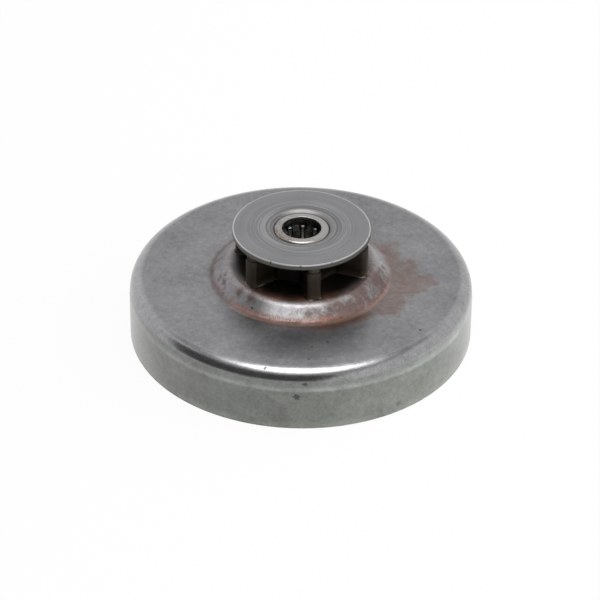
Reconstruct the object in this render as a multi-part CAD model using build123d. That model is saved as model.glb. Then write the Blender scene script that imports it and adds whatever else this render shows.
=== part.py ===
"""Chainsaw clutch drum with a spur sprocket, a chain guide washer and a needle bearing.

Millimetres, +Z up. The origin is the centre of the open rim, on which the drum stands.
The sprocket points up, and one of its teeth points to -Y.
"""

import math
import os

from build123d import *

# Drum: one drawn steel cup, open downwards
RIM_DIAMETER = 80.0
WALL = 2.0
FACE_THICKNESS = 2.0
FACE_HEIGHT = 15.1
SHOULDER_ROUND = 3.4
SHOULDER_DRAFT_DEG = 5.0
LAND_HEIGHT = 10.3
INNER_CORNER_ROUND = 1.4
RIM_ROUND = 0.4
RIM_INNER_ROUND = 0.2

# Raised conical boss in the middle of the drum's face
BOSS_BASE_DIAMETER = 41.6
BOSS_HEIGHT = 3.4
BOSS_SLOPE_DEG = 45.0
BOSS_EDGE_ROUND = 2.2
BOSS_CREASE_ROUND = 2.0

# Spur sprocket: teeth on a hub, a foot through the drum and a head through the washer
TOOTH_COUNT = 6
FIRST_TOOTH_DEG = -90.0
TIP_DIAMETER = 32.0
ROOT_DIAMETER = 17.4
TOOTH_TIP_WIDTH = 3.2
TOOTH_ROOT_WIDTH = 4.2
TOOTH_LENGTH = 8.4
TOOTH_NOSE_ROUND = 1.1
GULLET_ROUND = 1.4
NECK_LENGTH = 1.3
NECK_RELIEF = 0.2
FOOT_DIAMETER = 16.8
HEAD_DIAMETER = 16.4
BRAZE_GAP = 0.05
MOUTH_CHAMFER_WIDTH = 1.0
MOUTH_CHAMFER_DEPTH = 0.5

# Guide washer on top of the teeth
WASHER_OVERHANG = 0.05
WASHER_THICKNESS = 1.1
WASHER_EDGE_CHAMFER = 0.25

# Drawn-cup needle bearing, pressed into the hub
JOURNAL_DIAMETER = 9.0
NEEDLE_COUNT = 10
NEEDLE_DIAMETER = 1.5
NEEDLE_LENGTH = 7.0
NEEDLE_END_CHAMFER = 0.25
ROLLING_GAP = 0.02
FIRST_NEEDLE_DEG = 3.7
CUP_WALL = 0.48
CUP_LENGTH = 12.0
CUP_RECESS = 0.1
CUP_CORNER_ROUND = 0.8
LIP_THICKNESS = 0.6
LIP_GAP = 0.05
LIP_EDGE_ROUND = 0.15

# Sheet cage between the lips, waisted so that its bars hold the needles
CAGE_SHEET = 0.45
CAGE_BORE_GAP = 0.12
CAGE_RACEWAY_GAP = 0.1
CAGE_END_GAP = 0.15
CAGE_SHOULDER_LENGTH = 2.1
CAGE_WAIST_RUN = 1.0
POCKET_GAP = 0.15
POCKET_END_GAP = 0.1

# Heights that the pieces share
BOSS_TOP = FACE_HEIGHT + BOSS_HEIGHT
TOOTH_TOP = BOSS_TOP + TOOTH_LENGTH
HUB_TOP = TOOTH_TOP + WASHER_THICKNESS
CUP_TOP = HUB_TOP - CUP_RECESS
CUP_BOTTOM = CUP_TOP - CUP_LENGTH
BEARING_MIDDLE = (CUP_TOP + CUP_BOTTOM) / 2

# Radii that the pieces share
JOURNAL_RADIUS = JOURNAL_DIAMETER / 2
NEEDLE_RADIUS = NEEDLE_DIAMETER / 2
NEEDLE_CIRCLE_RADIUS = JOURNAL_RADIUS + NEEDLE_RADIUS + ROLLING_GAP / 2
RACEWAY_RADIUS = JOURNAL_RADIUS + NEEDLE_DIAMETER + ROLLING_GAP
CUP_RADIUS = RACEWAY_RADIUS + CUP_WALL


def turned(points, rounds):
    """Revolve a closed outline of (radius, height) points about Z, with a round at each corner."""
    outline = FilletPolyline(*[(radius, 0, height) for radius, height in points], radius=rounds, close=True)
    return revolve(make_face(outline), Axis.Z)


def around(count, first_deg):
    """Angles in degrees of copies spread evenly about Z."""
    return [first_deg + 360 / count * index for index in range(count)]


def make_clutch_drum():
    """Drawn cup: turned land, leaning shoulder, flat face, conical boss and a round hole."""
    outer = RIM_DIAMETER / 2
    inner = outer - WALL
    face_under = FACE_HEIGHT - FACE_THICKNESS
    boss_under = BOSS_TOP - FACE_THICKNESS
    shoulder = outer - (FACE_HEIGHT - LAND_HEIGHT) * math.tan(math.radians(SHOULDER_DRAFT_DEG))
    boss_base = BOSS_BASE_DIAMETER / 2
    boss_edge = boss_base - BOSS_HEIGHT / math.tan(math.radians(BOSS_SLOPE_DEG))
    under_shift = FACE_THICKNESS * math.tan(math.radians(BOSS_SLOPE_DEG / 2))
    hole = FOOT_DIAMETER / 2 + BRAZE_GAP
    corners = [
        ((inner, 0), RIM_INNER_ROUND),
        ((outer, 0), RIM_ROUND),
        ((outer, LAND_HEIGHT), 0),
        ((shoulder, FACE_HEIGHT), SHOULDER_ROUND),
        ((boss_base, FACE_HEIGHT), BOSS_CREASE_ROUND),
        ((boss_edge, BOSS_TOP), BOSS_EDGE_ROUND),
        ((hole, BOSS_TOP), 0),
        ((hole, boss_under), 0),
        ((boss_edge - under_shift, boss_under), BOSS_CREASE_ROUND),
        ((boss_base - under_shift, face_under), BOSS_EDGE_ROUND),
        ((inner, face_under), INNER_CORNER_ROUND),
    ]
    return turned([point for point, _ in corners], [size for _, size in corners])


def make_star(relief):
    """Flat star of rounded teeth about the hub, drawn in by a relief at tips and flanks."""
    tip = TIP_DIAMETER / 2 - relief
    root = ROOT_DIAMETER / 2
    taper = (TOOTH_ROOT_WIDTH - TOOTH_TIP_WIDTH) / (TIP_DIAMETER / 2 - root)
    centre_half = (TOOTH_ROOT_WIDTH + taper * root) / 2 - relief
    reach = TIP_DIAMETER / 2
    reach_half = TOOTH_TIP_WIDTH / 2 - relief
    flanks = [(0, -centre_half), (reach, -reach_half), (reach, reach_half), (0, centre_half)]
    tooth = make_face(Polyline(*flanks, close=True)) & Circle(tip)
    star = Circle(root)
    for angle in around(TOOTH_COUNT, FIRST_TOOTH_DEG):
        star += Rot(0, 0, angle) * tooth
    roots = [corner for corner in star.vertices() if abs(math.hypot(corner.X, corner.Y) - root) < relief + 0.01]
    star = fillet(roots, GULLET_ROUND)
    tips = [corner for corner in star.vertices() if abs(math.hypot(corner.X, corner.Y) - tip) < 0.01]
    return fillet(tips, TOOTH_NOSE_ROUND)


def make_spur_sprocket():
    """Teeth with a slightly drawn-in neck, a foot, a head and the bore for the bearing cup."""
    neck_bottom = TOOTH_TOP - NECK_LENGTH
    teeth = Pos(0, 0, BOSS_TOP) * extrude(make_star(0), TOOTH_LENGTH - NECK_LENGTH)
    neck = Pos(0, 0, neck_bottom) * extrude(make_star(NECK_RELIEF), NECK_LENGTH)
    mouth = CUP_RADIUS + MOUTH_CHAMFER_WIDTH
    hub = turned(
        [
            (CUP_RADIUS, CUP_BOTTOM),
            (FOOT_DIAMETER / 2, CUP_BOTTOM),
            (FOOT_DIAMETER / 2, BOSS_TOP),
            (HEAD_DIAMETER / 2, TOOTH_TOP),
            (HEAD_DIAMETER / 2, HUB_TOP),
            (mouth, HUB_TOP),
            (CUP_RADIUS, HUB_TOP - MOUTH_CHAMFER_DEPTH),
        ],
        0,
    )
    bore = Pos(0, 0, BOSS_TOP) * extrude(Circle(CUP_RADIUS), TOOTH_LENGTH)
    return (teeth + neck) - bore + hub


def make_guide_washer():
    """Flat disc on the hub's head, with a broken upper edge."""
    hole = HEAD_DIAMETER / 2 + BRAZE_GAP
    edge = TIP_DIAMETER / 2 + WASHER_OVERHANG
    return turned(
        [
            (hole, TOOTH_TOP),
            (edge, TOOTH_TOP),
            (edge, HUB_TOP - WASHER_EDGE_CHAMFER),
            (edge - WASHER_EDGE_CHAMFER, HUB_TOP),
            (hole, HUB_TOP),
        ],
        0,
    )


def make_bearing_cup():
    """Thin drawn cup with an inward lip at each end."""
    lip = JOURNAL_RADIUS + LIP_GAP
    corners = [
        ((lip, CUP_BOTTOM), LIP_EDGE_ROUND),
        ((CUP_RADIUS, CUP_BOTTOM), CUP_CORNER_ROUND),
        ((CUP_RADIUS, CUP_TOP), CUP_CORNER_ROUND),
        ((lip, CUP_TOP), LIP_EDGE_ROUND),
        ((lip, CUP_TOP - LIP_THICKNESS), 0),
        ((RACEWAY_RADIUS, CUP_TOP - LIP_THICKNESS), 0),
        ((RACEWAY_RADIUS, CUP_BOTTOM + LIP_THICKNESS), 0),
        ((lip, CUP_BOTTOM + LIP_THICKNESS), 0),
    ]
    return turned([point for point, _ in corners], [size for _, size in corners])


def make_needle_cage():
    """Waisted sheet ring with an inward flange at each end and one pocket for each needle."""
    bore = JOURNAL_RADIUS + CAGE_BORE_GAP
    back = RACEWAY_RADIUS - CAGE_RACEWAY_GAP
    half = CUP_LENGTH / 2 - LIP_THICKNESS - CAGE_END_GAP
    flange = half - CAGE_SHEET
    shoulder = half - CAGE_SHOULDER_LENGTH
    waist = shoulder - CAGE_WAIST_RUN
    upper = [
        (bore + CAGE_SHEET, waist),
        (back, shoulder),
        (back, half),
        (bore, half),
        (bore, flange),
        (back - CAGE_SHEET, flange),
        (back - CAGE_SHEET, shoulder),
        (bore, waist),
    ]
    lower = [(radius, -height) for radius, height in reversed(upper)]
    ring = turned(upper + lower, 0)
    pocket = Cylinder(NEEDLE_RADIUS + POCKET_GAP, NEEDLE_LENGTH + 2 * POCKET_END_GAP)
    for angle in around(NEEDLE_COUNT, FIRST_NEEDLE_DEG):
        ring -= Rot(0, 0, angle) * Pos(NEEDLE_CIRCLE_RADIUS, 0, 0) * pocket
    return Pos(0, 0, BEARING_MIDDLE) * ring


def make_needle(angle):
    """Needle with broken end edges, standing on the needle circle at an angle."""
    needle = Cylinder(NEEDLE_RADIUS, NEEDLE_LENGTH)
    needle = chamfer(needle.edges().filter_by(GeomType.CIRCLE), NEEDLE_END_CHAMFER)
    return Rot(0, 0, angle) * Pos(NEEDLE_CIRCLE_RADIUS, 0, BEARING_MIDDLE) * needle


def make_nodes():
    """All pieces by node name, in the part's frame."""
    nodes = {
        "clutch_drum": make_clutch_drum(),
        "spur_sprocket": make_spur_sprocket(),
        "guide_washer": make_guide_washer(),
        "bearing_cup": make_bearing_cup(),
        "needle_cage": make_needle_cage(),
    }
    for index, angle in enumerate(around(NEEDLE_COUNT, FIRST_NEEDLE_DEG), start=1):
        nodes[f"needle_{index:02d}"] = make_needle(angle)
    return nodes


os.makedirs("parts", exist_ok=True)
for name, solid in make_nodes().items():
    export_step(solid, f"parts/{name}.step")
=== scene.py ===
"""Looks of a chainsaw clutch drum with a spur sprocket, a guide washer and a needle bearing.

Metres, +Z up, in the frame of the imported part: the drum stands on its open rim, its axis is Z,
the sprocket points up and one tooth points to -Y. The finishes read Object coordinates and
work in millimetres.
"""

import functools
import logging
import math
from dataclasses import dataclass
from enum import Enum
from typing import ClassVar, Iterable

import bpy
from mathutils import Matrix, Quaternion, Vector


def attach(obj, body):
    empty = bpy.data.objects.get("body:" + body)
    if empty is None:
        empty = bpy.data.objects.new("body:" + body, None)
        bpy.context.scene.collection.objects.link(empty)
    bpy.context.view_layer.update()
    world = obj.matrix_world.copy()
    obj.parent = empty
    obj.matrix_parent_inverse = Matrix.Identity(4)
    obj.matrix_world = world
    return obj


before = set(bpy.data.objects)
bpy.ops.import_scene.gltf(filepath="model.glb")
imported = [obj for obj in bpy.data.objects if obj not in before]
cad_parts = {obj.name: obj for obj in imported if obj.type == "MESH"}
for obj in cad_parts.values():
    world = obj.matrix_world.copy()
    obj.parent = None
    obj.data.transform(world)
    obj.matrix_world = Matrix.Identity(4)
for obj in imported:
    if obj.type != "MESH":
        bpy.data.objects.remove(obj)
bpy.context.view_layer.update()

MM = 0.001
LOG = logging.getLogger("clutch_drum")

# Share of Z in a normal above which a face counts as level.
LEVEL = 0.9
# Edges that turn by more than this stay sharp.
SMOOTH_ANGLE = math.radians(50)

Colour = tuple[float, float, float]
# Where a mask is 0 and where it is 1, in millimetres.
Fade = tuple[float, float]
WHITE: Colour = (1.0, 1.0, 1.0)
UP = Vector((0.0, 0.0, 1.0))


class Body(Enum):
    """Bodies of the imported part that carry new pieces."""

    DRUM = "drum"


class Slot(Enum):
    """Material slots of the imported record, one for each finish."""

    DRUM_STEEL = "drum_steel"
    SPROCKET_STEEL = "sprocket_steel"
    WASHER_STEEL = "washer_steel"
    BEARING_STEEL = "bearing_steel"
    CAGE_BLACK = "cage_black"
    NEEDLE_STEEL = "needle_steel"


class Maths(Enum):
    """Math node operations that the finishes use."""

    ADD = "ADD"
    SUBTRACT = "SUBTRACT"
    MULTIPLY = "MULTIPLY"
    DIVIDE = "DIVIDE"
    POWER = "POWER"
    ABSOLUTE = "ABSOLUTE"
    MINIMUM = "MINIMUM"
    MAXIMUM = "MAXIMUM"


class Element(Enum):
    """Parts of a mesh that are selected in edit mode."""

    VERTEX = "VERT"
    EDGE = "EDGE"
    FACE = "FACE"


class LampShape(Enum):
    """Shapes of the soft lamps."""

    ELLIPSE = "ELLIPSE"
    RECTANGLE = "RECTANGLE"


def tone(red: int, green: int, blue: int) -> Colour:
    """Turn a screen colour, 0 to 255 a channel, into the linear colour that a shader takes.

    Args:
        red: Red channel.
        green: Green channel.
        blue: Blue channel.

    Returns:
        The same colour in linear light.
    """
    shares = (channel / 255 for channel in (red, green, blue))
    return tuple(s / 12.92 if s <= 0.04045 else ((s + 0.055) / 1.055) ** 2.4 for s in shares)


class Value:
    """A number that varies over a surface. Python's operators on it add Math nodes."""

    def __init__(self, tree: "NodeTree", socket: bpy.types.NodeSocket) -> None:
        """Keep the socket and the tree that it belongs to."""
        self.tree = tree
        self.socket = socket

    def __add__(self, other: "Value | float") -> "Value":
        """Sum of this and another number."""
        return self.tree.maths(Maths.ADD, self, other)

    __radd__ = __add__

    def __sub__(self, other: "Value | float") -> "Value":
        """This less another number."""
        return self.tree.maths(Maths.SUBTRACT, self, other)

    def __rsub__(self, other: float) -> "Value":
        """A plain number less this."""
        return self.tree.maths(Maths.SUBTRACT, other, self)

    def __mul__(self, other: "Value | float") -> "Value":
        """Product of this and another number."""
        return self.tree.maths(Maths.MULTIPLY, self, other)

    __rmul__ = __mul__

    def __truediv__(self, other: "Value | float") -> "Value":
        """This divided by another number."""
        return self.tree.maths(Maths.DIVIDE, self, other)

    def __rtruediv__(self, other: float) -> "Value":
        """A plain number divided by this."""
        return self.tree.maths(Maths.DIVIDE, other, self)

    def __pow__(self, power: float) -> "Value":
        """This raised to a power."""
        return self.tree.maths(Maths.POWER, self, power)

    def __abs__(self) -> "Value":
        """This without its sign."""
        return self.tree.maths(Maths.ABSOLUTE, self)


@dataclass(frozen=True)
class Place:
    """Where a point of the surface is in the part's frame, in millimetres."""

    vector: bpy.types.NodeSocket
    x: Value
    y: Value
    z: Value
    radius: Value


@dataclass(frozen=True)
class Spot:
    """One mark: the point that it is at and its radius, in millimetres, and how strong it is."""

    place: tuple[float, float, float]
    radius: float
    strength: float = 1.0


@dataclass(frozen=True)
class Grain:
    """A soft noise: width of its coarsest spots in millimetres, its finer layers and their strength."""

    size: float
    detail: float = 2.0
    rough: float = 0.5


@dataclass(frozen=True)
class Side:
    """A side of the part, seen along its axis, as angles in degrees.

    It faces a direction, anticlockwise from +X. Its mask is 0 at one angle from that direction
    and 1 at a smaller one.
    """

    direction: float
    none: float
    full: float


class NodeTree:
    """Node tree of the world or of a material, with one method that adds any node."""

    def __init__(self, tree: bpy.types.NodeTree) -> None:
        """Empty a tree and keep it."""
        self.tree = tree
        self.tree.nodes.clear()

    def node(self, kind: str, settings: dict | None = None, sockets: dict | None = None) -> bpy.types.Node:
        """Add one node.

        Args:
            kind: Blender's type name of the node.
            settings: The node's own settings, by name, which are set first.
            sockets: Numbers, colours, values or sockets for its inputs, by name or place.

        Returns:
            The new node.
        """
        made = self.tree.nodes.new(kind)
        for name, setting in (settings or {}).items():
            setattr(made, name, setting)
        for name, given in (sockets or {}).items():
            socket = made.inputs[name]
            if isinstance(given, Value):
                self.tree.links.new(given.socket, socket)
            elif isinstance(given, bpy.types.NodeSocket):
                self.tree.links.new(given, socket)
            elif socket.type == "RGBA":
                socket.default_value = (*given, 1.0)
            else:
                socket.default_value = given
        return made

    def maths(self, operation: Maths, *terms: Value | float) -> Value:
        """Add one Math node on values and plain numbers and return its result."""
        made = self.node("ShaderNodeMath", {"operation": operation.value}, dict(enumerate(terms)))
        return Value(self, made.outputs[0])

    def largest(self, *terms: Value | float) -> Value:
        """Largest of some values and plain numbers."""
        return functools.reduce(functools.partial(self.maths, Maths.MAXIMUM), terms)


class FinishTree(NodeTree):
    """Node tree of one material, with the patterns that the finishes share."""

    MIX_FACTOR: ClassVar[int] = 0
    MIX_FIRST: ClassVar[int] = 6
    MIX_SECOND: ClassVar[int] = 7
    MIX_RESULT: ClassVar[int] = 2
    SPECK_CORE: ClassVar[float] = 0.4
    SPECK_LOT_FADE: ClassVar[float] = 0.02

    def __init__(self, name: str) -> None:
        """Start an empty tree in a new material of that name."""
        self.material = bpy.data.materials.new(name)
        self.material.use_nodes = True
        super().__init__(self.material.node_tree)

    @functools.cached_property
    def place(self) -> Place:
        """Find the point of the surface that is shaded.

        Returns:
            Its place in millimetres, from the object's own coordinates.
        """
        coordinates = self.node("ShaderNodeTexCoord").outputs["Object"]
        scaled = self.node("ShaderNodeVectorMath", {"operation": "SCALE"}, {0: coordinates, "Scale": 1 / MM})
        vector = scaled.outputs[0]
        parts = self.node("ShaderNodeSeparateXYZ", sockets={0: vector})
        x, y, z = (Value(self, socket) for socket in parts.outputs)
        return Place(vector, x, y, z, (x * x + y * y) ** 0.5)

    def vector(self, x: Value, y: Value, z: Value) -> bpy.types.NodeSocket:
        """Join three numbers to a vector."""
        return self.node("ShaderNodeCombineXYZ", sockets={"X": x, "Y": y, "Z": z}).outputs[0]

    def noise(self, grain: Grain, vector: bpy.types.NodeSocket | None = None) -> Value:
        """Add soft noise.

        Args:
            grain: How coarse and how detailed it is.
            vector: Where it is read, in millimetres, if not at the shaded point.

        Returns:
            Its strength, about 0.5 in the middle.
        """
        sockets = {"Vector": self.place.vector if vector is None else vector, "Scale": 1 / grain.size}
        sockets |= {"Detail": grain.detail, "Roughness": grain.rough}
        return Value(self, self.node("ShaderNodeTexNoise", sockets=sockets).outputs["Fac"])

    def ramp(self, value: Value, none: float, full: float) -> Value:
        """Add a soft step.

        Args:
            value: The number that is compared.
            none: Where the step is 0.
            full: Where the step is 1, above or below none.

        Returns:
            A mask from 0 to 1.
        """
        low, high = min(none, full), max(none, full)
        ends = {"To Min": float(none > full), "To Max": float(full > none)}
        sockets = {"Value": value, "From Min": low, "From Max": high, **ends}
        made = self.node("ShaderNodeMapRange", {"interpolation_type": "SMOOTHSTEP"}, sockets)
        return Value(self, made.outputs[0])

    def ridge(self, value: Value, centre: float, width: float) -> Value:
        """Mask that is 1 at a centre and falls softly to 0 at a width to each side."""
        return self.ramp(abs(value - centre), width, 0.0)

    def facing(self, side: Side) -> Value:
        """Mask one side of the part.

        Args:
            side: Where the side is.

        Returns:
            A mask from 0 to 1.
        """
        place = self.place
        direction, none, full = (math.radians(angle) for angle in (side.direction, side.none, side.full))
        share = (place.x * math.cos(direction) + place.y * math.sin(direction)) / place.radius
        return self.ramp(share, math.cos(none), math.cos(full))

    def specks(self, spacing: float, size: float, share: float) -> Value:
        """Scatter small round specks.

        Args:
            spacing: Usual distance between two places for a speck, in millimetres.
            size: Radius of a speck, in millimetres.
            share: Share of the places that have a speck.

        Returns:
            A mask from 0 to 1.
        """
        sockets = {"Vector": self.place.vector, "Scale": 1 / spacing}
        cells = self.node("ShaderNodeTexVoronoi", sockets=sockets)
        lot = self.node("ShaderNodeSeparateColor", sockets={0: cells.outputs["Color"]}).outputs[0]
        edge = size / spacing
        near = self.ramp(Value(self, cells.outputs["Distance"]), edge, self.SPECK_CORE * edge)
        return near * self.ramp(Value(self, lot), share, share - self.SPECK_LOT_FADE)

    def marks(self, spots: tuple[Spot, ...], ragged: Value, core: float) -> Value:
        """Lay separate marks.

        Args:
            spots: The marks.
            ragged: What is added to the distance from a mark, as a share of its radius.
            core: Share of the radius inside which a mark is full.

        Returns:
            The mask of all the marks.
        """
        masks = []
        for spot in spots:
            ends = {0: self.place.vector, 1: spot.place}
            away = self.node("ShaderNodeVectorMath", {"operation": "DISTANCE"}, ends)
            share = Value(self, away.outputs["Value"]) / spot.radius + ragged
            masks.append(self.ramp(share, 1.0, core) * spot.strength)
        return self.largest(*masks)

    def mix(self, factor: Value | float, first: object, second: object) -> bpy.types.NodeSocket:
        """Mix two colours.

        Args:
            factor: Share of the second colour.
            first: Colour or socket.
            second: Colour or socket.

        Returns:
            The mixed colour.
        """
        sockets = {self.MIX_FACTOR: factor, self.MIX_FIRST: first, self.MIX_SECOND: second}
        made = self.node("ShaderNodeMix", {"data_type": "RGBA"}, sockets)
        return made.outputs[self.MIX_RESULT]

    def layers(self, colour: object, *coats: tuple[Value, Colour]) -> bpy.types.NodeSocket:
        """Lay colours over another, each where its mask is.

        Args:
            colour: The lowest colour.
            coats: Mask and colour of each layer above it, in order.

        Returns:
            What is seen of them all.
        """
        for mask, over in coats:
            colour = self.mix(mask, colour, over)
        return colour

    def shade(self, colour: object, strength: Value) -> bpy.types.NodeSocket:
        """Multiply a colour by a number."""
        made = self.node("ShaderNodeVectorMath", {"operation": "SCALE"}, {0: colour, "Scale": strength})
        return made.outputs[0]

    def bump(self, height: Value, depth: float) -> bpy.types.NodeSocket:
        """Turn a height of 0 to 1 into a normal, for a relief of that depth in millimetres."""
        return self.node("ShaderNodeBump", sockets={"Height": height, "Distance": depth * MM}).outputs[0]

    def surface(self, **sockets: object) -> bpy.types.Material:
        """Close the tree with a Principled shader.

        Args:
            sockets: Its inputs, with underscores for the blanks in their names.

        Returns:
            The finished material.
        """
        named = {name.replace("_", " "): given for name, given in sockets.items()}
        shader = self.node("ShaderNodeBsdfPrincipled", sockets=named)
        self.node("ShaderNodeOutputMaterial", sockets={"Surface": shader.outputs[0]})
        return self.material


@dataclass(frozen=True)
class DrumZones:
    """Masks of the drum's surfaces, each from 0 to 1, and the distance outside the boss's crease."""

    inside: Value
    land: Value
    lean: Value
    edge: Value
    rim: Value
    hem: Value
    crown: Value
    shoulder: Value
    slope: Value
    plateau: Value
    past_crease: Value


@dataclass(frozen=True)
class DrumStains:
    """Masks, each from 0 to 1: heat stain, rust, soot with painted shade, pits, painted slope highlight."""

    patch: Value
    copper: Value
    umber: Value
    rust: Value
    brim: Value
    ember: Value
    soot_and_shade: Value
    pits: Value
    slope_highlight: Value
    crease: Value


@dataclass(frozen=True)
class DrumSteel:
    """Drawn steel drum: satin lilac-grey face, olive turned land, brown heat stain round the boss."""

    face: Colour = tone(131, 131, 133)
    shoulder: Colour = tone(146, 145, 147)
    land: Colour = tone(104, 107, 101)
    lean: Colour = tone(116, 119, 115)
    slope: Colour = tone(144, 142, 144)
    # Painted highlight: brighter metal for the front and right of the boss's slope.
    slope_highlight: Colour = tone(213, 211, 213)
    inside: Colour = tone(112, 110, 110)
    stain: Colour = tone(112, 94, 88)
    rusty: Colour = tone(93, 71, 65)
    copper: Colour = tone(162, 118, 103)
    blush: Colour = tone(163, 144, 139)
    grime: Colour = tone(110, 101, 99)
    umber: Colour = tone(92, 66, 52)
    ember: Colour = tone(116, 79, 63)
    # Soot and painted shade: near black on the plateau near the hub, under the washer and between the teeth.
    soot_and_shade: Colour = tone(27, 24, 21)
    pit: Colour = tone(60, 59, 57)
    face_height: float = 15.1
    boss_radius: float = 20.8
    boss_height: float = 3.4
    land_height: float = 10.3
    inner_radius: float = 38.0
    shoulder_radius: float = 36.5
    crown_drop: float = 17.0
    # Where the painted highlight along the bottom of the wall fades in.
    rim_highlight_fade: Fade = (2.4, 0.6)
    hem_fade: Fade = (0.5, 0.36)
    soot_and_shade_fade: Fade = (17.3, 13.9)
    ember_fade: Fade = (17.0, 15.8)
    relief: float = 0.014
    coat_roughness: float = 0.28
    coat_ior: float = 1.6
    blob_grain: Grain = Grain(4.5, 3.0, 0.55)
    mottle_grain: Grain = Grain(1.6, 3.0, 0.6)
    grit_grain: Grain = Grain(0.42, 2.0, 0.6)
    cloud_grain: Grain = Grain(14.0, 3.0, 0.55)
    smear_grain: Grain = Grain(5.0, 4.0, 0.6)
    smear_stretch: float = 0.5
    fleck_grain: Grain = Grain(1.3, 3.0, 0.65)
    fine_grain: Grain = Grain(0.45, 2.0, 0.6)
    right_side: Side = Side(-18.0, 50.0, 32.0)
    tongue_side: Side = Side(-18.0, 12.0, 3.0)
    lobe_side: Side = Side(-41.0, 13.0, 4.0)
    front_side: Side = Side(-77.0, 26.0, 8.0)
    near_side: Side = Side(-114.0, 46.0, 26.0)
    ahead_side: Side = Side(-108.0, 56.0, 30.0)
    ring_side: Side = Side(-98.0, 52.0, 28.0)
    brown_side: Side = Side(-52.0, 50.0, 20.0)
    line_side: Side = Side(-58.0, 40.0, 25.0)
    # Sides where the painted highlight on the boss's slope is.
    highlight_front: Side = Side(-106.0, 26.0, 13.0)
    highlight_right: Side = Side(0.0, 22.0, 6.0)
    # Side where the painted highlight along the top of the land is strongest.
    edge_highlight_side: Side = Side(-108.0, 60.0, 20.0)
    blooms: tuple[Spot, ...] = (
        Spot((-16.1, -8.5, 17.7), 1.7),
        Spot((-13.9, -11.7, 17.7), 2.2),
        Spot((-4.6, -18.3, 17.4), 0.9),
        Spot((0.2, -19.0, 17.2), 1.3),
        Spot((3.2, -18.7, 17.2), 1.4),
    )
    pits: tuple[Spot, ...] = (
        Spot((-6.8, -39.4, 12.3), 0.80),
        Spot((-8.6, -39.1, 8.8), 1.05),
        Spot((15.5, -36.9, 2.5), 0.95, 0.5),
        Spot((0.7, -28.0, 15.1), 0.45),
        Spot((-3.2, -29.3, 15.1), 0.35),
        Spot((-4.8, -33.7, 15.1), 0.35),
        Spot((22.2, -27.2, 15.1), 0.40),
        Spot((-15.0, -34.9, 14.6), 0.65),
        Spot((-14.0, -13.5, 16.3), 0.45),
    )

    def zones(self, tree: FinishTree) -> DrumZones:
        """Tell the drum's surfaces apart.

        Args:
            tree: The drum's node tree.

        Returns:
            The masks of the surfaces.
        """
        place = tree.place
        past = place.radius - self.boss_radius
        rise = tree.maths(Maths.MINIMUM, -1.0 * past, self.boss_height)
        top = tree.largest(rise, 0.0) + self.face_height
        wall = tree.ramp(place.radius, self.inner_radius + 0.4, self.inner_radius + 0.1)
        inside = tree.ramp(top - place.z, 0.8, 1.2) * wall
        outside = 1.0 - inside
        return DrumZones(
            inside=inside,
            land=tree.ramp(place.z, self.land_height + 0.12, self.land_height - 0.12) * outside,
            lean=tree.ramp(place.z, self.land_height + 3.0, self.land_height + 1.9) * outside,
            # Band at the top of the turned land that carries a painted highlight.
            edge=tree.ridge(place.z, self.land_height + 0.5, 1.0) * outside,
            # Lowest part of the wall and its rounded hem, which carry a painted highlight.
            rim=tree.ramp(place.z, *self.rim_highlight_fade) * outside,
            hem=tree.ramp(place.z, *self.hem_fade) * outside,
            crown=tree.ramp(place.radius, self.shoulder_radius - 3.0, self.shoulder_radius + 1.3) * outside,
            shoulder=tree.ramp(place.radius, self.shoulder_radius, self.shoulder_radius + 1.2) * outside,
            slope=tree.ramp(past, 0.3, -0.5) * outside,
            plateau=tree.ramp(past + self.boss_height, 0.9, -0.7) * outside,
            past_crease=past,
        )

    def stains(self, tree: FinishTree, zones: DrumZones) -> DrumStains:
        """Lay the brazing and wear stains, the painted shade near the hub and the painted slope highlight.

        Args:
            tree: The drum's node tree.
            zones: The masks of the surfaces.

        Returns:
            The masks of the stains.
        """
        outside = 1.0 - zones.inside
        blobs, mottle, grit = map(tree.noise, (self.blob_grain, self.mottle_grain, self.grit_grain))
        past, radius = zones.past_crease, tree.place.radius
        right, tongue, lobe = map(tree.facing, (self.right_side, self.tongue_side, self.lobe_side))
        front, near, ahead = map(tree.facing, (self.front_side, self.near_side, self.ahead_side))
        reach = 0.9 + right * 3.5 + front * 1.4 + tongue * 4.7 + lobe * 2.4
        reach = reach + (blobs - 0.5) * (right * 9.0 + 3.0)
        patch = tree.ramp(past - reach, 1.5, -1.3) * tree.ramp(past, -1.0, 0.2)
        patch = patch * (0.35 + 0.65 * tree.largest(right, front))
        patch = patch * (0.6 + 0.4 * tree.ramp(mottle, 0.3, 0.65)) * outside
        ragged = past + (mottle - 0.5) * 1.4
        band = tree.ramp(ragged, -1.5, -0.6) * tree.ramp(ragged, 0.5, -0.1)
        band = band * (0.12 + near * 0.88) * outside
        grains = tree.ramp(grit, 0.40, 0.60)
        ring = tree.ramp(ragged, -0.6, 0.0) * tree.ramp(ragged, 1.8, 0.6)
        ring = ring * tree.facing(self.ring_side) * 0.8
        halo = tree.ramp(past + (mottle - 0.5) * 1.5, 3.6, 1.3) * tree.ramp(past, -0.2, 0.3) * front
        umber = tree.largest(ring, halo) * outside
        crease = tree.ridge(past, 0.1, 0.95) * outside
        brown = blobs * 0.55 + mottle * 0.45 + tree.facing(self.brown_side) * 0.17
        brown = tree.ramp(brown, 0.50, 0.70)
        blooms = tree.marks(self.blooms, (mottle - 0.5) * 1.8, core=0.1)
        rust = tree.largest(brown * 0.85, blooms * 0.8) * zones.slope
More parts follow.
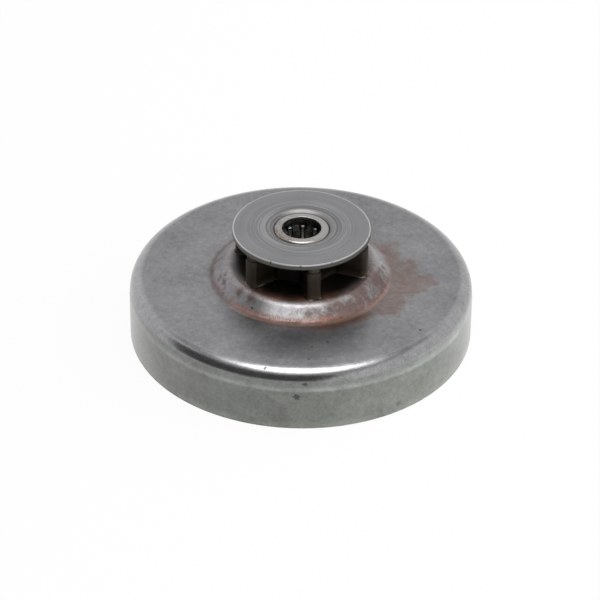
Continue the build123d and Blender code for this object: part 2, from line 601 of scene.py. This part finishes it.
        # Soot and painted shade on the plateau near the hub, under the washer, less at the front.
        soot_and_shade = tree.ramp(radius + (blobs - 0.5) * 1.6 + ahead * 0.8, *self.soot_and_shade_fade) * outside
        brim = zones.plateau * (0.22 + 0.55 * ahead * tree.ramp(blobs, 0.35, 0.55))
        ember = tree.ramp(radius + (mottle - 0.5) * 1.2, *self.ember_fade) * ahead * 0.9 * outside
        pits = tree.specks(spacing=6.0, size=0.28, share=0.12) * 0.5
        named = tree.marks(self.pits, (grit - 0.5) * 1.6 + (mottle - 0.5) * 1.2, core=0.4)
        pits = tree.largest(pits, named) * outside
        # Painted highlight: brighter colour on the front and right of the boss's slope.
        slope_highlight = tree.facing(self.highlight_front) + tree.facing(self.highlight_right) * 0.5
        slope_highlight = slope_highlight * zones.slope * (1.0 - zones.plateau)
        slope_highlight = slope_highlight * (0.75 + 0.25 * tree.ramp(mottle, 0.4, 0.6))
        line = tree.ridge(past, -0.1, 0.5) * tree.facing(self.line_side) * grains * outside
        copper = tree.largest(band * (0.4 + 0.6 * grains), line * 0.9)
        return DrumStains(patch, copper, umber, rust, brim, ember, soot_and_shade, pits, slope_highlight, crease)

    def make(self) -> bpy.types.Material:
        """Build the material.

        Returns:
            The finish of the drum, inside and outside.
        """
        tree = FinishTree(Slot.DRUM_STEEL.value)
        place = tree.place
        zones = self.zones(tree)
        stains = self.stains(tree, zones)
        clouds, fleck, grain = map(tree.noise, (self.cloud_grain, self.fleck_grain, self.fine_grain))
        stretched = tree.vector(place.x * self.smear_stretch, place.y * self.smear_stretch, place.z)
        smears = tree.noise(self.smear_grain, stretched)
        wall = tree.largest(zones.land, zones.lean)
        colour = tree.layers(
            self.face,
            (zones.shoulder, self.shoulder),
            (zones.lean, self.lean),
            (zones.land, self.land),
            (zones.slope, self.slope),
            (stains.slope_highlight, self.slope_highlight),
            (zones.inside, self.inside),
            (stains.patch * 0.85, self.stain),
            (stains.crease * 0.6, self.grime),
            (stains.rust * 0.95, self.rusty),
            (stains.brim * 0.9, self.blush),
            (stains.ember, self.ember),
            (stains.copper * 0.8, self.copper),
            (stains.umber * 0.8, self.umber),
            (stains.soot_and_shade, self.soot_and_shade),
            (stains.pits * 0.9, self.pit),
        )
        bright = 0.05 + clouds * 0.70 + grain * 0.50 + fleck * 0.70
        bright = bright + wall * ((fleck - 0.5) * 0.3 + (grain - 0.5) * 0.4 + (smears - 0.5) * 1.2)
        rubbed = tree.ramp(smears, 0.4, 0.6)
        # Painted highlight: a light line along the top of the turned land, strongest at the front, in
        # patches.
        edge_highlight_front = tree.facing(self.edge_highlight_side)
        bright = bright + zones.edge * (0.14 + edge_highlight_front * 0.25 + rubbed * 0.25)
        # Painted highlight: the bottom of the wall is lighter in patches, and its rounded hem lighter still.
        bright = bright + zones.rim * (0.22 + rubbed * 0.30) + zones.hem * 0.7
        rough = 0.39 - zones.shoulder * 0.16 + (clouds - 0.5) * 0.12 + zones.slope * 0.12
        rough = rough + wall * 0.24 + zones.inside * 0.05 + zones.hem * 0.45
        rough = rough + stains.crease * 0.3 + stains.patch * 0.06 + stains.rust * 0.06
        height = fleck * 0.4 + grain * 0.5 + smears * wall * 0.4
        height = height - stains.pits - zones.crown * self.crown_drop
        coat = (zones.shoulder * 0.45 + wall * 0.60) * (1.0 - zones.hem)
        stained = stains.patch * 0.25 + stains.rust * 0.25
        stained = tree.largest(stained, stains.brim * 0.55, stains.crease * 0.55)
        return tree.surface(
            Base_Color=tree.shade(colour, bright),
            Metallic=1.0 - stained - wall * 0.6 - zones.hem * 0.4,
            Roughness=rough,
            Coat_Weight=coat * (1.0 - stains.pits * 0.8),
            Coat_Roughness=self.coat_roughness,
            Coat_IOR=self.coat_ior,
            Normal=tree.bump(height, self.relief),
        )


@dataclass(frozen=True)
class TurningRings:
    """Grooves that the lathe left round the bore, strongest near it."""

    grain: Grain = Grain(0.42, 2.0, 0.6)
    waver: float = 0.02
    strong_radius: float = 7.5
    faint_radius: float = 14.0
    faint: float = 0.15

    def height(self, tree: FinishTree) -> Value:
        """Find the height of the grooves.

        Args:
            tree: Node tree of the finish.

        Returns:
            Their height, from about -0.5 to 0.5.
        """
        place = tree.place
        along = tree.vector(place.radius, place.x * self.waver, place.y * self.waver)
        grooves = tree.ramp(tree.noise(self.grain, along), 0.40, 0.60) - 0.5
        strength = tree.ramp(place.radius, self.faint_radius, self.strong_radius)
        return grooves * (strength * (1.0 - self.faint) + self.faint)


@dataclass(frozen=True)
class SprocketSteel:
    """Heat-treated dark brown steel, with copper colour at the foot of the teeth."""

    body: Colour = tone(86, 80, 72)
    neck: Colour = tone(98, 94, 87)
    foot: Colour = tone(92, 71, 60)
    mouth: Colour = tone(126, 125, 125)
    # Painted shade for the gap round the bearing cup and for the roots of the teeth round the hub.
    painted_shade: Colour = tone(40, 36, 34)
    foot_height: float = 18.5
    neck_height: float = 25.6
    head_height: float = 27.0
    bore_radius: float = 6.5
    hub_radius: float = 8.7
    relief: float = 0.014
    cloud_grain: Grain = Grain(3.0, 3.0)
    fine_grain: Grain = Grain(0.4, 3.0)
    rings: TurningRings = TurningRings()

    def make(self) -> bpy.types.Material:
        """Build the material.

        Returns:
            The finish of the sprocket.
        """
        tree = FinishTree(Slot.SPROCKET_STEEL.value)
        place = tree.place
        clouds, grain = map(tree.noise, (self.cloud_grain, self.fine_grain))
        neck = tree.ramp(place.z, self.neck_height - 0.1, self.neck_height + 0.1)
        foot = tree.ramp(place.z + clouds * 2.0, self.foot_height + 3.0, self.foot_height + 1.0)
        head = tree.ramp(place.z, self.head_height - 0.1, self.head_height + 0.1)
        # Painted shade: darker in the gap at the bore and low round the hub, under the washer between the
        # teeth.
        gap = tree.ramp(place.radius, self.bore_radius + 0.4, self.bore_radius + 0.05) * head
        hub = tree.ramp(place.radius, self.hub_radius + 2.0, self.hub_radius + 0.4) * (1.0 - head)
        rings = self.rings.height(tree) * head
        colour = tree.layers(
            self.body,
            (foot * 0.6, self.foot),
            (neck * 0.6, self.neck),
            (hub * 0.6, self.painted_shade),
            (head, self.mouth),
            (gap * 0.3, self.painted_shade),
        )
        return tree.surface(
            Base_Color=tree.shade(colour, 0.7 + clouds * 0.4 + grain * 0.2 + rings * 0.35),
            Metallic=1.0 - foot * 0.3,
            Roughness=0.36 + (clouds - 0.5) * 0.2 + head * 0.1 + gap * 0.2,
            Normal=tree.bump(grain + clouds * 0.5 + rings, self.relief),
        )


@dataclass(frozen=True)
class TurnedSteel:
    """Guide washer: fine rings from turning round the bore, and a painted highlight along its edge, wider at
    the back.
    """

    body: Colour = tone(134, 134, 136)
    # Painted highlight along the edge and its chamfer.
    edge: Colour = tone(191, 191, 190)
    side: Colour = tone(120, 120, 116)
    nick: Colour = tone(70, 68, 66)
    rim_radius: float = 16.05
    top_height: float = 28.0
    relief: float = 0.012
    cloud_grain: Grain = Grain(9.0, 2.0)
    fine_grain: Grain = Grain(0.35, 2.0, 0.6)
    # Back of the washer, where the painted highlight on the top face is wider.
    wear_and_painted_light_side: Side = Side(80.0, 100.0, 70.0)
    rings: TurningRings = TurningRings()
    nicks: tuple[Spot, ...] = (
        Spot((-3.3, -15.7, 27.9), 0.45),
        Spot((-9.6, -12.8, 27.9), 0.40),
        Spot((4.1, -15.5, 27.9), 0.35),
        Spot((14.3, -7.2, 27.9), 0.35),
    )

    def make(self) -> bpy.types.Material:
        """Build the material.

        Returns:
            The finish of the guide washer.
        """
        tree = FinishTree(Slot.WASHER_STEEL.value)
        place = tree.place
        clouds, grain = map(tree.noise, (self.cloud_grain, self.fine_grain))
        rings = self.rings.height(tree)
        # Painted highlight: a light ring along the edge and its chamfer, and a wider faint one across the
        # back of the top face.
        edge = tree.ramp(place.radius, self.rim_radius - 0.45, self.rim_radius - 0.33)
        worn = tree.ramp(place.radius, self.rim_radius - 0.62, self.rim_radius - 0.45)
        worn = worn * tree.facing(self.wear_and_painted_light_side) * 0.4
        side = tree.ramp(place.z, self.top_height - 0.06, self.top_height - 0.24)
        nicks = tree.marks(self.nicks, (grain - 0.5) * 1.5, core=0.3)
        colour = tree.layers(
            self.body,
            (tree.largest(edge, worn), self.edge),
            (side, self.side),
            (nicks * 0.8, self.nick),
        )
        return tree.surface(
            Base_Color=tree.shade(colour, 0.64 + clouds * 0.24 + grain * 0.36 + rings * 0.5),
            Metallic=1.0,
            Roughness=0.30 + (clouds - 0.5) * 0.1 + edge * 0.22,
            Normal=tree.bump(rings + grain * 0.15, self.relief),
        )


@dataclass(frozen=True)
class BearingSteel:
    """Bright drawn cup, with small brown pits on its worn lip."""

    body: Colour = tone(158, 156, 155)
    tarnish: Colour = tone(142, 124, 113)
    pit: Colour = tone(84, 68, 58)
    # Painted shade for the gap round the cup.
    painted_shade: Colour = tone(52, 48, 45)
    inside: Colour = tone(96, 94, 92)
    lip_height: float = 27.3
    outer_radius: float = 6.5
    relief: float = 0.004
    cloud_grain: Grain = Grain(2.5, 3.0)
    fine_grain: Grain = Grain(0.3, 3.0, 0.6)
    wear_and_painted_light_side: Side = Side(-165.0, 75.0, 30.0)

    def make(self) -> bpy.types.Material:
        """Build the material.

        Returns:
            The finish of the bearing cup.
        """
        tree = FinishTree(Slot.BEARING_STEEL.value)
        place = tree.place
        clouds, grain = map(tree.noise, (self.cloud_grain, self.fine_grain))
        # This side has more pits and tarnish, and more painted shade in the gap.
        worn = tree.facing(self.wear_and_painted_light_side)
        pits = tree.ramp(grain + clouds * 0.3 + worn * 0.17, 0.82, 0.90)
        tarnish = tree.ramp(clouds + worn * 0.12, 0.52, 0.66)
        below = tree.ramp(place.z, self.lip_height + 0.1, self.lip_height - 0.1)
        # Painted shade: the outer edge of the cup is darker, most on the left, where the gap round it lies
        # in shadow.
        gap = tree.ramp(place.radius, self.outer_radius - 0.16, self.outer_radius - 0.03)
        colour = tree.layers(
            self.body,
            (below, self.inside),
            (tarnish * 0.35, self.tarnish),
            (pits * 0.8, self.pit),
            (gap * (0.25 + worn * 0.4), self.painted_shade),
        )
        return tree.surface(
            Base_Color=tree.shade(colour, 0.85 + clouds * 0.3),
            Metallic=1.0 - pits * 0.4,
            Roughness=0.26 + clouds * 0.1 + pits * 0.2,
            Normal=tree.bump(clouds * 0.3 - pits, self.relief),
        )


@dataclass(frozen=True)
class BlackOxide:
    """Black oxide of the needle cage, rubbed a little lighter on its bars."""

    body: Colour = tone(44, 45, 43)
    rubbed: Colour = tone(92, 92, 90)
    relief: float = 0.02
    cloud_grain: Grain = Grain(1.2, 3.0)

    def make(self) -> bpy.types.Material:
        """Build the material.

        Returns:
            The finish of the needle cage.
        """
        tree = FinishTree(Slot.CAGE_BLACK.value)
        clouds = tree.noise(self.cloud_grain)
        rubbed = tree.ramp(clouds, 0.5, 0.7)
        return tree.surface(
            Base_Color=tree.mix(rubbed, self.body, self.rubbed),
            Metallic=0.6,
            Roughness=0.38 - rubbed * 0.1,
            Normal=tree.bump(clouds, self.relief),
        )


@dataclass(frozen=True)
class PolishedSteel:
    """Ground and polished needles, with fine lines round them."""

    body: Colour = tone(160, 160, 158)
    worn: Colour = tone(138, 137, 135)
    relief: float = 0.004
    squeeze: float = 6.0
    streak_grain: Grain = Grain(0.8, 3.0)

    def make(self) -> bpy.types.Material:
        """Build the material.

        Returns:
            The finish of the needles.
        """
        tree = FinishTree(Slot.NEEDLE_STEEL.value)
        place = tree.place
        squeezed = tree.vector(place.x, place.y, place.z * self.squeeze)
        streaks = tree.noise(self.streak_grain, squeezed)
        return tree.surface(
            Base_Color=tree.mix(tree.ramp(streaks, 0.4, 0.7), self.body, self.worn),
            Metallic=1.0,
            Roughness=0.22 + streaks * 0.1,
            Normal=tree.bump(streaks, self.relief),
        )


@dataclass(frozen=True)
class BrazeMetal:
    """Filler metal of the brazed joint, bronze with dark oxide patches."""

    body: Colour = tone(100, 93, 82)
    oxide: Colour = tone(44, 38, 33)
    relief: float = 0.03
    patch_grain: Grain = Grain(1.4, 3.0)
    darker_side: Side = Side(150.0, 50.0, 25.0)

    def make(self) -> bpy.types.Material:
        """Build the material.

        Returns:
            The finish of the braze beads.
        """
        tree = FinishTree("braze_metal")
        patches = tree.noise(self.patch_grain)
        # The bead of the tooth that faces 150 degrees is darker.
        dull = tree.facing(self.darker_side) * 0.25
        return tree.surface(
            Base_Color=tree.mix(tree.ramp(patches + dull, 0.45, 0.6), self.body, self.oxide),
            Metallic=1.0,
            Roughness=0.25 + patches * 0.2,
            Normal=tree.bump(patches, self.relief),
        )


class Modeller:
    """Edit-mode steps that the pieces share."""

    @staticmethod
    def clear() -> None:
        """Deselect every object."""
        bpy.ops.object.select_all(action="DESELECT")

    @staticmethod
    def pick(piece: bpy.types.Object, kind: Element, chosen: Iterable[int]) -> None:
        """Enter edit mode with only some elements of the piece selected.

        Args:
            piece: The active mesh object, in object mode.
            kind: What is selected.
            chosen: Indices of the elements.
        """
        bpy.ops.object.mode_set(mode="EDIT")
        bpy.ops.mesh.select_mode(type=kind.value)
        bpy.ops.mesh.select_all(action="DESELECT")
        bpy.ops.object.mode_set(mode="OBJECT")
        mesh = piece.data
        kinds = {Element.VERTEX: mesh.vertices, Element.EDGE: mesh.edges, Element.FACE: mesh.polygons}
        for index in chosen:
            kinds[kind][index].select = True
        bpy.ops.object.mode_set(mode="EDIT")

    @staticmethod
    def settle() -> None:
        """Leave edit mode, which brings the mesh up to date."""
        bpy.ops.object.mode_set(mode="OBJECT")

    @staticmethod
    def smooth() -> None:
        """Leave edit mode and shade the piece smooth between its sharp edges."""
        Modeller.settle()
        bpy.ops.object.shade_smooth_by_angle(angle=SMOOTH_ANGLE)

    @staticmethod
    def around(piece: bpy.types.Object, count: int) -> list[bpy.types.Object]:
        """Repeat a piece evenly about Z.

        Args:
            piece: The first piece, whose name ends in _1.
            count: How many pieces there are in all.

        Returns:
            All the pieces, each with its own mesh.
        """
        stem = piece.name.removesuffix("1")
        made = [piece]
        for index in range(1, count):
            twin = piece.copy()
            twin.data = piece.data.copy()
            twin.name = twin.data.name = f"{stem}{index + 1}"
            twin.data.transform(Matrix.Rotation(2 * math.pi * index / count, 4, "Z"))
            bpy.context.collection.objects.link(twin)
            made.append(twin)
        return made


class Dresser:
    """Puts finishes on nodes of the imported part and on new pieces."""

    @staticmethod
    def dress(node: str, finish: bpy.types.Material) -> None:
        """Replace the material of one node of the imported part."""
        Dresser.coat(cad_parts[node], finish)
        LOG.info("dressed %s with %s", node, finish.name)

    @staticmethod
    def coat(piece: bpy.types.Object, finish: bpy.types.Material) -> None:
        """Give an object one material."""
        piece.data.materials.clear()
        piece.data.materials.append(finish)

    @staticmethod
    def add(piece: bpy.types.Object, finish: bpy.types.Material, slot: Slot) -> None:
        """Give a new piece its material and attach it to the drum's body."""
        Dresser.coat(piece, finish)
        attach(piece, Body.DRUM.value)
        LOG.info("built %s", piece.name)


@dataclass
class ClutchDrum:
    """The drawn drum, with the fine hem that finishes the round at its open rim."""

    rim_radius: float = 40.0 * MM
    hem_side: float = 0.40 * MM
    hem_round: float = 0.38 * MM
    hem_segments: int = 360
    round_segments: int = 10
    finish: DrumSteel = DrumSteel()

    def build_hem(self) -> bpy.types.Object:
        """Model the ring that follows the rim's round.

        Returns:
            The hem.
        """
        Modeller.clear()
        middle = (0.0, 0.0, self.hem_side / 2)
        bpy.ops.mesh.primitive_cylinder_add(
            vertices=self.hem_segments, radius=self.rim_radius, depth=self.hem_side, location=middle
        )
        hem = bpy.context.object
        hem.name = hem.data.name = "rim_hem"
        bpy.ops.object.transform_apply(location=True, rotation=False, scale=False)
        lids = [face.index for face in hem.data.polygons if abs(face.normal.z) > LEVEL]
        Modeller.pick(hem, Element.FACE, lids)
        bpy.ops.mesh.inset(thickness=self.hem_side)
        bpy.ops.mesh.bridge_edge_loops()
        Modeller.settle()
        outer = self.rim_radius - self.hem_side / 2
        low = {
            vertex.index
            for vertex in hem.data.vertices
            if vertex.co.z < middle[2] and vertex.co.xy.length > outer
        }
        corner = [edge.index for edge in hem.data.edges if low.issuperset(edge.vertices)]
        Modeller.pick(hem, Element.EDGE, corner)
        bpy.ops.mesh.bevel(offset=self.hem_round, segments=self.round_segments, affect="EDGES")
        bpy.ops.mesh.select_all(action="SELECT")
        bpy.ops.mesh.normals_make_consistent(inside=False)
        Modeller.smooth()
        return hem

    def dress(self) -> None:
        """Give the drum and its hem their finish."""
        steel = self.finish.make()
        Dresser.dress("clutch_drum", steel)
        Dresser.add(self.build_hem(), steel, Slot.DRUM_STEEL)


@dataclass
class SpurSprocket:
    """The sprocket, with the bead of braze at the foot of each tooth."""

    tooth_count: int = 6
    first_tooth_degrees: float = -90.0
    tooth_start: float = 7.6 * MM
    tooth_tip: float = 16.0 * MM
    start_width: float = 4.37 * MM
    tip_width: float = 3.2 * MM
    nose_round: float = 1.1 * MM
    bead_width: float = 0.34 * MM
    bead_height: float = 0.34 * MM
    bead_foil: float = 0.02 * MM
    bead_steps: tuple[tuple[float, float], ...] = ((0.45, 0.14), (0.35, 0.30), (0.26, 0.56))
    boss_top: float = 18.5 * MM
    nose_segments: int = 8
    finish: SprocketSteel = SprocketSteel()
    bead_finish: BrazeMetal = BrazeMetal()

    def build_beads(self) -> list[bpy.types.Object]:
        """Model the bead of one tooth and repeat it.

        Returns:
            The beads of all the teeth.
        """
        Modeller.clear()
        start, tip = self.tooth_start, self.tooth_tip + self.bead_width
        root_width = self.start_width + 2 * self.bead_width
        nose_width = self.tip_width + 2 * self.bead_width
        middle = ((start + tip) / 2, 0.0, self.boss_top + self.bead_foil / 2)
        bpy.ops.mesh.primitive_cube_add(size=1.0, location=middle)
        bead = bpy.context.object
        bead.name = bead.data.name = "braze_bead_1"
        bead.scale = (tip - start, root_width, self.bead_foil)
        bpy.ops.object.transform_apply(location=True, rotation=False, scale=True)
        nose = {vertex.index for vertex in bead.data.vertices if vertex.co.x > middle[0]}
        Modeller.pick(bead, Element.VERTEX, nose)
        bpy.ops.transform.resize(value=(1.0, nose_width / root_width, 1.0), center_override=(tip, 0.0, 0.0))
        Modeller.settle()
        heights = [vertex.co.z for vertex in bead.data.vertices]
        corners = []
        for edge in bead.data.edges:
            first, last = edge.vertices
            if nose.issuperset(edge.vertices) and abs(heights[first] - heights[last]) > self.bead_foil / 2:
                corners.append(edge.index)
        Modeller.pick(bead, Element.EDGE, corners)
        nose_round = self.nose_round + self.bead_width
        bpy.ops.mesh.bevel(offset=nose_round, segments=self.nose_segments, affect="EDGES")
        Modeller.settle()
        lids = [face.index for face in bead.data.polygons if face.normal.z > LEVEL]
        Modeller.pick(bead, Element.FACE, lids)
        for width, height in self.bead_steps:
            bpy.ops.mesh.inset(thickness=width * self.bead_width, depth=height * self.bead_height)
        Modeller.smooth()
        bead.data.transform(Matrix.Rotation(math.radians(self.first_tooth_degrees), 4, "Z"))
        return Modeller.around(bead, self.tooth_count)

    def dress(self) -> None:
        """Give the sprocket and its beads their finishes."""
        Dresser.dress("spur_sprocket", self.finish.make())
        metal = self.bead_finish.make()
        for bead in self.build_beads():
            Dresser.add(bead, metal, Slot.SPROCKET_STEEL)


@dataclass
class GuideWasher:
    """The guide washer on top of the teeth."""

    finish: TurnedSteel = TurnedSteel()

    def dress(self) -> None:
        """Give the washer its finish."""
        Dresser.dress("guide_washer", self.finish.make())


@dataclass
class NeedleBearing:
    """The bearing cup, its cage and its needles."""

    cup_finish: BearingSteel = BearingSteel()
    cage_finish: BlackOxide = BlackOxide()
    needle_finish: PolishedSteel = PolishedSteel()

    def dress(self) -> None:
        """Give the cup, the cage and every needle their finishes."""
        Dresser.dress("bearing_cup", self.cup_finish.make())
        Dresser.dress("needle_cage", self.cage_finish.make())
        polished = self.needle_finish.make()
        for node in sorted(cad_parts):
            if node.startswith("needle_") and node != "needle_cage":
                Dresser.dress(node, polished)


@dataclass
class Studio:
    """White floor, soft box overhead, dark card beside the camera, and the camera."""

    OVERHEAD: ClassVar[float] = 0.9
    SEEN_RAYS: ClassVar[tuple[str, ...]] = ("Is Camera Ray", "Is Glossy Ray", "Is Transmission Ray")
    CARD_HIDDEN_FROM: ClassVar[tuple[str, ...]] = (
        "camera",
        "diffuse",
        "transmission",
        "volume_scatter",
        "shadow",
    )

    azimuth_degrees: float = -11.3
    elevation_degrees: float = 34.659
    distance: float = 0.700
    target: tuple[float, float, float] = (-0.202 * MM, 0.040 * MM, 7.606 * MM)
    roll: float = 0.01024
    lens: float = 179.32
    sensor: float = 36.0
    floor_side: float = 4.0
    floor_glow: float = 0.955
    floor_paint: float = 0.8
    box_size: tuple[float, float] = (0.42, 0.38)
    box_height: float = 0.62
    box_forward: float = 0.045
    box_watts: float = 1.35
    skirt_size: tuple[float, float] = (1.0, 0.9)
    skirt_gap: float = 1.03
    skirt_reach: float = 0.37
    skirt_glow: float = 1.7
    skirt_grey: float = 0.45
    panel_azimuth_degrees: float = 90.0
    panel_elevation_degrees: float = 22.0
    panel_distance: float = 0.6
    panel_size: tuple[float, float] = (1.4, 0.7)
    panel_watts: float = 9.5
    room_light: float = 0.3
    card_azimuth_degrees: float = -35.0
    card_elevation_degrees: float = 33.0
    card_distance: float = 0.75
    card_size: tuple[float, float] = (1.70, 0.84)
    card_grey: float = 0.11

    def seen(self, tree: NodeTree) -> Value:
        """Tell camera, glossy and transmission rays from the rest.

        Args:
            tree: Node tree of the world or of a material.

        Returns:
            A value that is 1 for those rays and 0 for others.
        """
        rays = tree.node("ShaderNodeLightPath").outputs
        return tree.largest(*(Value(tree, rays[name]) for name in self.SEEN_RAYS))

    def light_world(self) -> None:
        """White surroundings for camera and mirror rays, with less light on the object."""
        world = bpy.data.worlds.new("studio")
        bpy.context.scene.world = world
        world.use_nodes = True
        tree = NodeTree(world.node_tree)
        strength = self.room_light + self.seen(tree) * (1.0 - self.room_light)
        background = tree.node("ShaderNodeBackground", sockets={"Color": WHITE, "Strength": strength})
        tree.node("ShaderNodeOutputWorld", sockets={"Surface": background.outputs[0]})

    def build_floor(self) -> None:
        """White floor that keeps a faint shadow of the object."""
        Modeller.clear()
        bpy.ops.mesh.primitive_plane_add(size=self.floor_side)
        floor = bpy.context.object
        floor.name = "floor"
        tree = FinishTree("floor_white")
        paint = tree.node("ShaderNodeBsdfDiffuse", sockets={"Color": (self.floor_paint,) * 3})
        glow = tree.node("ShaderNodeEmission", sockets={"Color": WHITE, "Strength": 1.0})
        share = self.seen(tree) * self.floor_glow
        sockets = {0: share, 1: paint.outputs[0], 2: glow.outputs[0]}
        mixed = tree.node("ShaderNodeMixShader", sockets=sockets)
        tree.node("ShaderNodeOutputMaterial", sockets={"Surface": mixed.outputs[0]})
        Dresser.coat(floor, tree.material)

    def direction(self, azimuth: float, elevation: float) -> Vector:
        """Unit vector from the object, for an azimuth and an elevation in degrees."""
        a, e = math.radians(azimuth), math.radians(elevation)
        return Vector((math.sin(a) * math.cos(e), -math.cos(a) * math.cos(e), math.sin(e)))

    def middle(self, tree: FinishTree, size: tuple[float, float]) -> Value:
        """Mask the middle of a card.

        Args:
            tree: Node tree of the card.
            size: Its width and height.

        Returns:
            A mask that is 1 over the soft box and 0 from the skirt's reach.
        """
        unit = tree.node("ShaderNodeTexCoord").outputs["Object"]
        place = tree.node("ShaderNodeVectorMath", {"operation": "MULTIPLY"}, {0: unit, 1: (*size, 0.0)})
        apart = tree.node("ShaderNodeVectorMath", {"operation": "LENGTH"}, {0: place.outputs[0]})
        return tree.ramp(Value(tree, apart.outputs["Value"]), self.skirt_reach, max(self.box_size) / 2)

    def build_card(
        self, name: str, place: Vector, size: tuple[float, float], grey: float, glow: float = 0.0
    ) -> None:
        """Build a grey card that faces the object and that only mirror rays see.

        Args:
            name: Name of the card.
            place: Its middle.
            size: Its width and height.
            grey: How bright it looks.
            glow: How much brighter its middle is, which falls off to nothing at the skirt's reach.
        """
        Modeller.clear()
        bpy.ops.mesh.primitive_plane_add(size=1.0)
        card = bpy.context.object
        card.name = name
        card.scale = (*size, 1.0)
        card.rotation_mode = "QUATERNION"
        card.rotation_quaternion = self.facing_object(place)
        card.location = place
        tree = FinishTree(name)
        light = (grey,) * 3
        if glow:
            light = tree.shade(light, 1.0 + self.middle(tree, size) * (glow / grey))
        lit = tree.node("ShaderNodeEmission", sockets={"Color": light, "Strength": 1.0})
        tree.node("ShaderNodeOutputMaterial", sockets={"Surface": lit.outputs[0]})
        Dresser.coat(card, tree.material)
        for ray in self.CARD_HIDDEN_FROM:
            setattr(card, f"visible_{ray}", False)

    def hang_lamp(
        self, name: str, shape: LampShape, place: Vector, size: tuple[float, float], watts: float
    ) -> bpy.types.Object:
        """Hang a soft lamp that faces the object.

        Args:
            name: Name of the lamp.
            shape: Its outline.
            place: Its middle.
            size: Its width and height.
            watts: Its power.

        Returns:
            The lamp.
        """
        lamp = bpy.data.lights.new(name, "AREA")
        lamp.shape = shape.value
        lamp.size, lamp.size_y = size
        lamp.energy = watts
        hung = bpy.data.objects.new(name, lamp)
        hung.location = place
        hung.rotation_mode = "QUATERNION"
        hung.rotation_quaternion = self.facing_object(place)
        bpy.context.collection.objects.link(hung)
        return hung

    def facing_object(self, place: Vector) -> Quaternion:
        """Turn a card or lamp at a place to look at the object.

        Args:
            place: Its middle.

        Returns:
            The turn, level with the ground, or with the camera where the place is overhead.
        """
        back = place.normalized()
        side = self.direction(self.azimuth_degrees + 90.0, 0.0)
        if back.z < self.OVERHEAD:
            side = UP.cross(back)
        side = (side - back * side.dot(back)).normalized()
        return Matrix((side, back.cross(side), back)).transposed().to_quaternion()

    def light_object(self) -> None:
        """Soft box overhead in its grey frame, soft panel at the right, dark card at the front left."""
        forward = self.direction(self.azimuth_degrees, 0.0) * self.box_forward
        above = Vector((forward.x, forward.y, self.box_height))
        self.hang_lamp("soft_box", LampShape.ELLIPSE, above, self.box_size, self.box_watts)
        behind = above * self.skirt_gap
        self.build_card("box_skirt", behind, self.skirt_size, self.skirt_grey, self.skirt_glow)
        turned = self.azimuth_degrees + self.panel_azimuth_degrees
        beside = self.direction(turned, self.panel_elevation_degrees) * self.panel_distance
        panel = self.hang_lamp("side_panel", LampShape.RECTANGLE, beside, self.panel_size, self.panel_watts)
        panel.visible_glossy = False
        turned = self.azimuth_degrees + self.card_azimuth_degrees
        before = self.direction(turned, self.card_elevation_degrees) * self.card_distance
        self.build_card("dark_card", before, self.card_size, self.card_grey)

    def place_camera(self) -> None:
        """Camera at the angle of the photograph."""
        lens = bpy.data.cameras.new("camera")
        lens.lens = self.lens
        lens.sensor_width = self.sensor
        back = self.direction(self.azimuth_degrees, self.elevation_degrees)
        side = UP.cross(back).normalized()
        up = back.cross(side)
        c, s = math.cos(self.roll), math.sin(self.roll)
        axes = Matrix((c * side + s * up, c * up - s * side, back)).transposed()
        camera = bpy.data.objects.new("camera", lens)
        eye = Vector(self.target) + back * self.distance
        camera.matrix_world = Matrix.Translation(eye) @ axes.to_4x4()
        bpy.context.collection.objects.link(camera)
        bpy.context.scene.camera = camera

    def build(self) -> None:
        """Set up the floor, the light and the camera."""
        bpy.context.scene.view_settings.view_transform = "Standard"
        self.light_world()
        self.build_floor()
        self.light_object()
        self.place_camera()
        LOG.info("set up the studio")


def main() -> None:
    """Dress the part and set up the studio, in order."""
    logging.basicConfig(level=logging.INFO, format="%(message)s")
    for assembly in (ClutchDrum(), SpurSprocket(), GuideWasher(), NeedleBearing()):
        assembly.dress()
    Studio().build()


if __name__ == "__main__":
    main()
